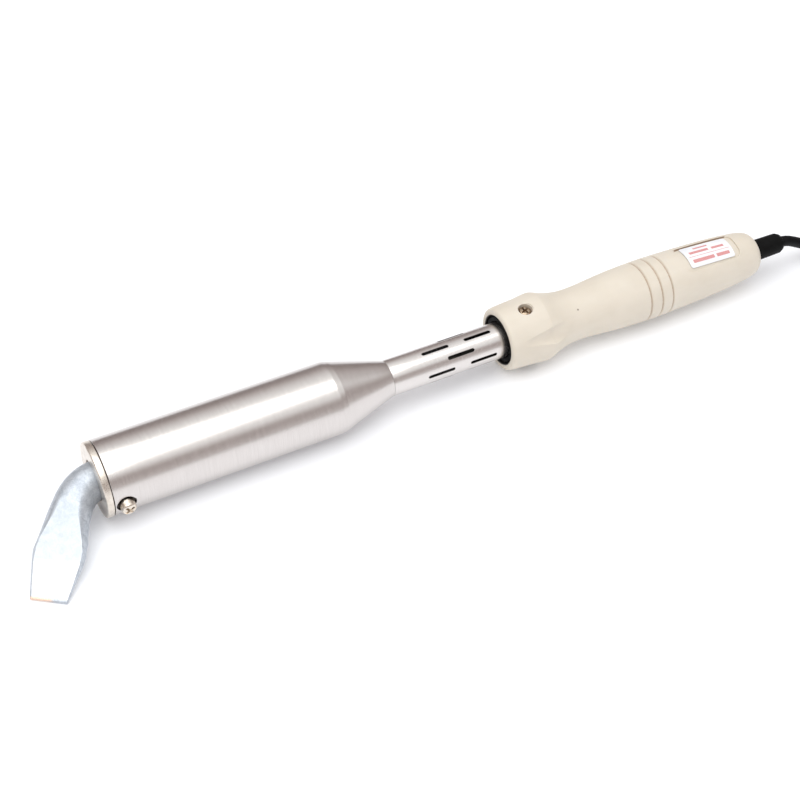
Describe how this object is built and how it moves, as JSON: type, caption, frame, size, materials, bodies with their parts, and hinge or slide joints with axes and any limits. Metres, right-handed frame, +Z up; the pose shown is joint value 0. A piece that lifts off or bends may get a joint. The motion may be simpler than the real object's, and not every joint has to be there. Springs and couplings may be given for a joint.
{
  "type": "soldering iron",
  "caption": "Large soldering iron: clamped chisel bit bent to one side, steel heater barrel coned to a vented neck, moulded handle, mains lead in a tied hank with plug.",
  "frame": {"origin": "bottom centre of the iron's own box (bit, barrel, handle and strain relief, without the lead), on the surface it lies on", "axes": "+X along the barrel from the bit towards the lead, +Z up, +Y away from the side the bit is bent to"},
  "size_m": [0.6903, 0.07, 0.0364],
  "materials": {
    "bit_metal": "zinc-grey plated copper, mottled matt, warm copper tone along the worn edge",
    "plated_steel": "nickel plated, satin, warm grey",
    "stainless": "fine circumferential brushing, satin",
    "core_steel": "plain drawn tube, slightly oxidised",
    "ceramic": "unglazed matt",
    "mica": "laminated sheet, silky",
    "resistance_wire": "oxidised resistance wire",
    "ceramic_fibre": "felted fibre blanket, matt",
    "handle_cream": "moulded, fine satin texture",
    "black_plastic": "black, half gloss",
    "label": null,
    "brass": "plain turned and stamped",
    "live_insulation": "wire insulation",
    "neutral_insulation": "wire insulation",
    "earth_insulation": "wire insulation",
    "black_rubber": "black jacket, satin",
    "relief_rubber": "black moulded, satin",
    "plug_rubber": "black moulded, satin",
    "strap": "black woven hook-and-loop strap",
    "tie_plastic": "natural nylon"
  },
  "bodies": {
    "root": {"front_cap": "plated_steel", "barrel_shell": "stainless", "neck_tube": "stainless", "core_tube": "core_steel", "front_ceramic_ring": "ceramic", "mica_inner": "mica", "heating_winding": "resistance_wire", "mica_outer": "mica", "fibre_insulation": "ceramic_fibre", "rear_ceramic_disc": "ceramic", "lead_live": "resistance_wire", "lead_neutral": "resistance_wire", "ceramic_beads_live": "ceramic", "ceramic_beads_neutral": "ceramic", "neck_bush": "black_plastic", "handle": "handle_cream", "handle_screw_top": "plated_steel", "handle_screw_far": "plated_steel", "handle_screw_near": "plated_steel", "rating_label": "label", "terminal_block": "ceramic", "terminal_screw_live": "brass", "terminal_screw_earth": "brass", "terminal_screw_neutral": "brass", "earth_wire": "earth_insulation", "cord_core_live": "live_insulation", "cord_core_neutral": "neutral_insulation", "cord_core_earth": "earth_insulation", "cord_inside": "black_rubber", "cord_stop_tie": "tie_plastic", "strain_relief": "relief_rubber", "cord": "black_rubber", "cord_hank": "black_rubber", "hank_strap": "strap", "cord_tail": "black_rubber", "plug_body": "plug_rubber", "plug_blade_live": "brass", "plug_blade_neutral": "brass", "plug_ground_pin": "brass"},
    "bit": {"bit": "bit_metal"},
    "clamp_screw_lower": {"bit_clamp_screw_lower": "plated_steel"},
    "clamp_screw_upper": {"bit_clamp_screw_upper": "plated_steel"}
  },
  "joints": [
    {"name": "bit_slide", "type": "slide", "parent": "root", "child": "bit", "axis": [-1, 0, 0], "range_m": [0, 0.095]},
    {"name": "clamp_screw_lower_turn", "type": "hinge", "parent": "root", "child": "clamp_screw_lower", "pos_m": [-0.16026, 0.01311, 0.01818], "axis": [0, -0.9877, -0.1564], "range_deg": [0, 540]},
    {"name": "clamp_screw_upper_turn", "type": "hinge", "parent": "root", "child": "clamp_screw_upper", "pos_m": [-0.16026, 0.01311, 0.01818], "axis": [0, 0.9976, 0.0698], "range_deg": [0, 540]}
  ]
}
